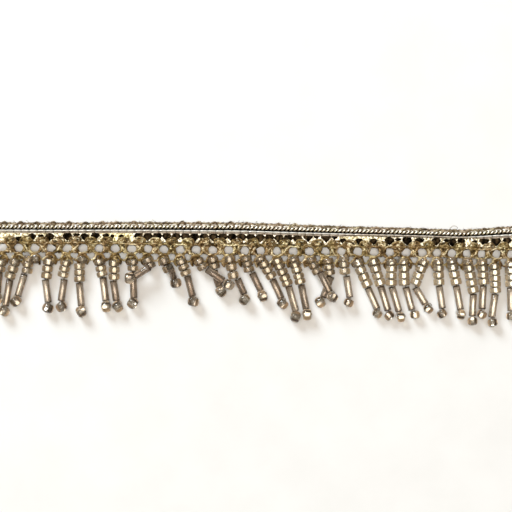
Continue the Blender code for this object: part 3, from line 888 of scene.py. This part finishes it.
def draw_yarn(skin, middle, base, rows, squeeze, narrow, raised=RAISED):
    """The yarns of one repeat, each a little uneven."""
    for path, ends, top, thick, tone in rows:
        path = np.array(path, float)
        path[:, 1] = lowered(path[:, 1], narrow)
        uneven = random.normal(0, UNEVEN, path.shape)
        bow = np.sin(np.linspace(0, math.pi, len(path)))
        height = (ends + (top - ends) * bow) * LIFT / 1000 + raised + random.normal(0, 0.00004, len(path))
        height = np.maximum(height, thick / 1850)
        points = spot(middle + path[:, 0] * squeeze + uneven[:, 0], base + path[:, 1] + uneven[:, 1], height)
        lightness = float(np.clip(0.12 + 0.6 * tone + random.normal(0, 0.2), 0, 1))
        plied(skin, points, thick / 1000, PLY_PITCH, lightness, plies=3, phase=random.uniform(0, 6))


def scatter_yarn(skin, middle, base, field, squeeze, narrow):
    """Short strands that lie every way on a fan, a pillar or a loop."""
    (low_wide, low_y), (high_wide, high_y), count = field
    for _ in range(count):
        share = random.uniform(0, 1)
        x = random.uniform(-1, 1) * (low_wide + (high_wide - low_wide) * share)
        y = lowered(low_y + (high_y - low_y) * share, narrow)
        way = random.uniform(0, math.pi)
        run = random.uniform(0.8, 1.7)
        bend = random.normal(0, 0.5)
        u = np.array((-1, 0, 1)) * run
        v = np.array((0, 1, 0)) * bend
        top = random.uniform(1.5, 2.2)
        points = spot(
            middle + (x + u * math.cos(way) - v * math.sin(way)) * squeeze,
            base + y + u * math.sin(way) + v * math.cos(way),
            np.array((top - 0.35, top, top - 0.3)) / 1000,
        )
        thick = random.uniform(0.32, 0.46) / 1000
        plied(skin, points, thick, FINE_PITCH, random.beta(0.5, 0.5), steps=5)


def make_net():
    fans, pillars, holes, loops = (Skin() for _ in range(4))
    for count in range(-1, REPEATS):
        left, right = hole_x(count), hole_x(count + 1)
        middle = (left + right) / 2
        if middle < LEFT_END + 6.5 or middle > RIGHT_END - 6.5:
            continue
        base = float(guide(middle, 2))
        narrow = (base - float(guide(middle, 1))) / USUAL_BAND * FAN_HEIGHT
        squeeze = (right - left) / REPEAT
        draw_yarn(pillars, middle, base, NET_YARN, squeeze * random.choice((-1, 1)), narrow)
        fan = FANS[random.integers(len(FANS))]
        draw_yarn(fans, middle, base, fan, squeeze * random.choice((-1, 1)), narrow)
        for field in (FAN_FIELD, PILLAR_FIELD):
            scatter_yarn(fans, middle, base, field, squeeze, narrow)
    for count in range(REPEATS):
        x = hole_x(count)
        base = float(guide(x, 2))
        squeeze = 1.0 if count <= EVEN_REPEATS else PUSHED_REPEAT / REPEAT
        draw_yarn(holes, x, base, HOLE_YARN, squeeze, 1.0)
        draw_yarn(loops, x, base, LOOP_YARN, squeeze, 1.0, LOOPS_RAISED)
        scatter_yarn(loops, x, base, LOOP_FIELD, squeeze, 1.0)
    x = np.linspace(LEFT_END + END_MARGIN, RIGHT_END - END_MARGIN, 300)
    y = guide(x, 2) - 4.8 + 0.5 * np.sin(x * 0.39) + random.normal(0, 0.15, len(x))
    chain = spot(x, y, 0.001 + 0.00018 * np.sin(x * 0.39 + 1))
    plied(loops, chain, 0.00032, FINE_PITCH, 0.15, steps=6)
    gold = thread_material(
        "crochet_gold",
        ((0.06, 0.035, 0.007), (0.41, 0.285, 0.108), (1.0, 0.9, 0.58)),
        ((0.068, 0.035, 0.009), (0.42, 0.275, 0.118), (1.0, 0.88, 0.61)),
        0.28, 0.7, 1100.0, 0.9,
    )
    brown = thread_material(
        "loop_yarn",
        ((0.06, 0.032, 0.006), (0.37, 0.24, 0.085), (1.0, 0.85, 0.5)),
        ((0.068, 0.031, 0.008), (0.38, 0.235, 0.092), (1.0, 0.83, 0.52)),
        0.34, 0.7, 1100.0, 0.8,
    )
    fan_piece = fans.build("crochet_fans", gold, "crochet_gold")
    pillar_piece = pillars.build("crochet_pillars", gold, "crochet_gold")
    hole_piece = holes.build("crochet_rings", gold, "crochet_gold")
    loop_piece = loops.build("crochet_loops", brown, "crochet_gold")
    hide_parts("lace_net")
    return [fan_piece, pillar_piece, hole_piece, loop_piece]


# Beads: seed beads and a long bead on each drop, then the end bead that turns the thread


def barrel(radius, hole, long, rows):
    """A bead's closed profile from rows of (height, radius) shares, with a straight hole."""
    half = long / 2
    side = [(radius * out, half * up) for up, out in rows]
    other = [(out, -up) for out, up in side[::-1]]
    return np.array(((hole, -half * 0.97), *other, (radius, 0), *side, (hole, half * 0.97)))


def sleeve(radius, long, thick=LINING_THICK):
    """The lining in a hole, or a dark ring of thread round one that paints shade: a tube of this thickness.
    """
    half = long / 2
    inner = radius - thick
    return np.array(((inner, -half), (radius, -half), (radius, half), (inner, half)))


class Fringe:
    """The skins of the bead fringe, and what a drop is made of."""

    def __init__(self):
        self.seeds, self.bugles, self.ends, self.linings, self.threads = (Skin() for _ in range(5))

    def seed(self, centre, axis, long, rows, tone, lining, shine, spin):
        """A seed bead. The lining of its hole is given by its radius and length."""
        profile = barrel(SEED_RADIUS, SEED_LINING * HOLE_SHARE, long, rows)
        self.seeds.revolve(centre, axis, profile, 18, tone)
        self.linings.revolve(centre, axis, sleeve(*lining), 4, shine, spin)

    def string_seeds(self, first, last, line, under, lightness, shine, steady):
        """The seed beads of a drop, with dark rings of thread between them that paint the shade where they
        meet. It gives their middles back.
        """
        run = float(np.hypot(*(last - first)))
        gaps = round(run * GRID / SEED_PITCH)
        turned_by = random.normal(0, 0.13) * steady
        rows = EVEN_SEED_ROWS if first[0] > EVEN_SEEDS_FROM else SEED_ROWS
        radius = SEED_LINING * change(first[0], ENDS_CHANGE, LINING_SIZE)
        beads = []
        if np.hypot(*(first - under)) > FREE_RUN:
            centre = spot(*(first + unit(under - first) * SEED_PITCH * 1.08 / GRID), SEED_RADIUS + BEAD_GAP)
            axis = (under[0] - first[0], first[1] - under[1], 0.3)
            lining = (SEED_LINING, SEED_LONG * SEED_LINED)
            # This bead lies under the loop: its darker glass and dimmer lining are painted shade
            self.seed(centre, axis, SEED_LONG * 0.85, rows, 0.2, lining, shine * 0.6, 0.1)
            beads.append(centre)
        long = min(SEED_LONG, run * GRID / gaps * 0.91)
        for count in range(gaps + 1):
            at = first + (last - first) * (count / gaps) + random.normal(0, 0.1, 2)
            tilt = random.normal(0, 0.04, 2)
            centre = spot(at[0], at[1], SEED_RADIUS + FLOOR_GAPS["seed"])
            axis = np.array((line[0] + tilt[0], -line[1] + tilt[1], random.normal(0, 0.04)))
            tone = lightness + 0.4 * random.random()
            spin = SQUARE_UP + turned_by + random.normal(0, 0.05)
            # The lining's painted brightness, as listed for the drop
            bright = shine * random.uniform(0.85, 1.1)
            self.seed(centre, axis, long, rows, tone, (radius, long * SEED_LINED), bright, spin)
            if count:
                # A dark ring of thread between two beads: painted shade where they meet
                self.threads.revolve((centre + beads[-1]) / 2, axis, sleeve(0.0008, 0.0002, 0.0005), 10, 0.0)
            beads.append(centre)
        return beads

    def add_bugle(self, top, low, lightness, shine, steady):
        """The long bead, with a dark ring of thread at each end: painted shade at its ends."""
        axis = low - top
        long = float(np.linalg.norm(axis))
        middle = (top + low) / 2
        tone = lightness + 0.4 * random.random()
        half = long / 2
        hole, bevelled = BUGLE_LINING * HOLE_SHARE, BUGLE_RADIUS * 0.92
        side = ((BUGLE_RADIUS, half - BUGLE_BEVEL), (bevelled, half), (hole, half))
        profile = (*((radius, -height) for radius, height in side[::-1]), *side)
        self.bugles.revolve(middle, axis, profile, 20, tone)
        spin = random.normal(0, 0.1) * steady
        self.linings.revolve(middle, axis, sleeve(BUGLE_LINING, long * BUGLE_LINED), 6, shine, spin)
        # Dark rings of thread at both ends: painted shade
        for way in (-1, 1):
            rim = middle + unit(axis) * way * (half + BUGLE_BEVEL)
            self.threads.revolve(rim, axis, sleeve(BUGLE_RADIUS - 0.00001, 0.00022, 0.0006), 12, 0.0)

    def add_end(self, end, low, degrees, lift, size, shine, steady):
        """The end bead, the threads in and beside its hole, and the thread that turns round it."""
        up, level = (math.radians(angle) for angle in degrees)
        up *= change(end[0], ENDS_CHANGE, END_STANDS)
        axis = (math.cos(up) * math.cos(level), math.cos(up) * math.sin(level), math.sin(up))
        profile = barrel(END_RADIUS, END_LINING * HOLE_SHARE, END_LONG, END_ROWS) * size
        low_point = float((profile[:, 0] * math.cos(up) + abs(profile[:, 1]) * math.sin(up)).max())
        centre = spot(end[0], end[1], low_point + FLOOR_GAPS["end"] + lift)
        self.ends.revolve(centre, axis, profile, 24, random.random())
        spin = SQUARE_UP + random.normal(0, 0.45) * steady
        lining = sleeve(END_LINING * size, END_LONG * END_LINED) * size
        self.linings.revolve(centre, axis, lining, 4, shine, spin)
        along = unit(np.array(axis))
        through = centre + along * np.linspace(-0.42, 0.42, 4)[:, None] * END_LONG * size
        self.threads.tube(through, 0.0003 * size, 8, 0.0)
        beside = unit(np.array((-axis[1], axis[0], 0.3))) * 0.00072 * size
        self.threads.tube(through + beside, 0.00028 * size, 6, 0.0)
        side = along * (END_LONG / 2 + 0.0001)
        turned = np.array((low, (low + centre + side) / 2 + 0.3 * side, centre + side, centre, centre - side))
        turned = np.vstack((turned, (low + centre - side) / 2 - 0.3 * side, low))
        turned[:, 2] = np.maximum(turned[:, 2], 0.00012)
        self.threads.tube(smooth_path(turned, 0.0003), TURN_RADIUS, 4, 0.8)

    def add_drop(self, number, row):
        """One drop of the fringe: its beads, and the thread that they hang on."""
        first, last, head, foot, end = (np.array(row[i : i + 2], float) for i in range(0, 10, 2))
        head_lift, foot_lift, end_lift = (height / 1000 for height in LIFTS.get(number, NO_LIFT))
        # The linings of seed, long and end beads are painted bright or dull drop by drop: painted light and
        # shade
        seed_painted_light, bugle_painted_light = PAINTED_LINING_LIGHT[number] if number < len(PAINTED_LINING_LIGHT) else LATE_PAINTED_LINING_LIGHT
        steady = change(first[0], SEEDS_CHANGE, TURNING)
        lightness = change(first[0], SEEDS_CHANGE, LIGHTNESS)
        line = unit(last - first)
        under = np.array((hole_x(number), float(guide(hole_x(number), 2)) + LOOP_FOOT))
        beads = self.string_seeds(first, last, line, under, lightness, seed_painted_light, steady)
        if not head_lift:
            along = abs(float(np.dot(line, unit(head - last))))
            beyond = SEED_LONG / 2 * along + SEED_RADIUS * math.sqrt(1 - min(1.0, along) ** 2)
            away = (beyond + BEAD_GAP) / GRID
            head = last + (head - last) * min(1.0, away / np.hypot(*(head - last)))
        size = change(end[0], ENDS_CHANGE, END_SIZE)
        missing = (END_RADIUS * size + 0.0001) / GRID - np.hypot(*(end - foot))
        foot = foot + unit(head - foot) * max(0.0, missing)
        top = spot(head[0], head[1], BUGLE_RADIUS + (head_lift or FLOOR_GAPS["bugle"]))
        low = spot(foot[0], foot[1], BUGLE_RADIUS + foot_lift)
        self.add_bugle(top, low, lightness, bugle_painted_light, steady)
        self.threads.tube(smooth_path(np.array((*beads, top, low)), 0.0006), THREAD_RADIUS, 5, 0.3)
        self.add_end(end, low, row[10:], end_lift, size, 0.35 + 0.4 * seed_painted_light, steady)


def make_beads():
    fringe = Fringe()
    for number, row in enumerate(DROPS):
        fringe.add_drop(number, row)
    seed_glass = glass_material("seed_glass", (0.62, 0.48, 0.315), (0.87, 0.735, 0.54), 0.02)
    bugle_glass = glass_material("bugle_glass", (0.62, 0.47, 0.336), (0.92, 0.74, 0.55), 0.02)
    end_glass = glass_material("end_glass", (0.69, 0.54, 0.39), (1.0, 0.82, 0.6), 0.01, 0.93)
    thread_look = thread_material(
        "bead_thread",
        ((0.03, 0.02, 0.01), (0.16, 0.12, 0.06), (0.5, 0.42, 0.28)),
        ((0.04, 0.02, 0.01), (0.2, 0.13, 0.08), (0.55, 0.42, 0.32)),
        0.5, 0.3,
    )
    pieces = [
        fringe.seeds.build("seed_beads", seed_glass, "bead_glass"),
        fringe.bugles.build("bugle_beads", bugle_glass, "bead_glass"),
        fringe.ends.build("end_beads", end_glass, "bead_glass"),
        fringe.linings.build("bead_linings", lining_material(), "bead_glass", smooth=False),
        fringe.threads.build("drop_threads_and_shade_rings", thread_look, "bead_glass"),
    ]
    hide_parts("bead_fringe")
    return pieces


# Floor, light and camera


def make_stage():
    size = 1.5
    mesh = bpy.data.meshes.new("floor")
    corners = [(-size, -size, 0), (size, -size, 0), (size, size, 0), (-size, size, 0)]
    mesh.from_pydata(corners, [], [(0, 1, 2, 3)])
    mesh.materials.append(floor_material())
    floor = bpy.data.objects.new("floor", mesh)
    bpy.context.scene.collection.objects.link(floor)


# Brightness of the room by height over the horizon, from level to straight up
ROOM = (
    (0.0, (0.13, 0.115, 0.095)),
    (0.4, (0.21, 0.185, 0.155)),
    (0.75, (0.3, 0.27, 0.23)),
    (0.93, (0.6, 0.54, 0.47)),
    (0.96, (4.5, 4.2, 3.85)),
    (1.0, (4.9, 4.6, 4.2)),
)


def make_light():
    world = bpy.data.worlds.new("studio")
    made = Nodes(world)
    background = made.nodes["Background"]
    direction = made.node("ShaderNodeTexCoord").outputs["Generated"]
    height = made.node("ShaderNodeSeparateXYZ")
    made.link(direction, height.inputs[0])
    made.link(made.ramp(height.outputs["Z"], ROOM), background.inputs["Color"])
    patches = made.node("ShaderNodeTexNoise", Scale=3.2, Detail=1.0)
    made.link(direction, patches.inputs["Vector"])
    made.link(made.spread(patches.outputs["Fac"], (0.38, 0.62), (0.78, 1.18)), background.inputs["Strength"])
    bpy.context.scene.world = world
    light = bpy.data.lights.new("window", "AREA")
    light.shape = "RECTANGLE"
    light.size = 0.6
    light.size_y = 0.45
    light.energy = 15.5
    light.color = (0.83, 0.93, 1.0)
    lamp = bpy.data.objects.new("window", light)
    bpy.context.scene.collection.objects.link(lamp)
    lamp.location = (-0.62, 0.88, 0.62)
    aim = -np.array(lamp.location)
    down = math.atan2(math.hypot(aim[0], aim[1]), -aim[2])
    lamp.rotation_euler = (down, 0, math.atan2(aim[1], aim[0]) - math.pi / 2)


def make_camera():
    frame_size = 512
    distance = 0.6
    camera = bpy.data.cameras.new("camera")
    camera.sensor_width = 36.0
    camera.lens = camera.sensor_width * distance / (frame_size * GRID)
    eye = bpy.data.objects.new("camera", camera)
    bpy.context.scene.collection.objects.link(eye)
    eye.location = (0, (MIDDLE_Y - frame_size / 2) * GRID, distance)
    bpy.context.scene.camera = eye


make_stage()
make_light()
make_camera()
bpy.context.scene.view_settings.view_transform = "Standard"
heading_pieces = make_heading()
cord_piece = make_cord()
foil_pieces = make_foil()
net_pieces = make_net()
bead_pieces = make_beads()
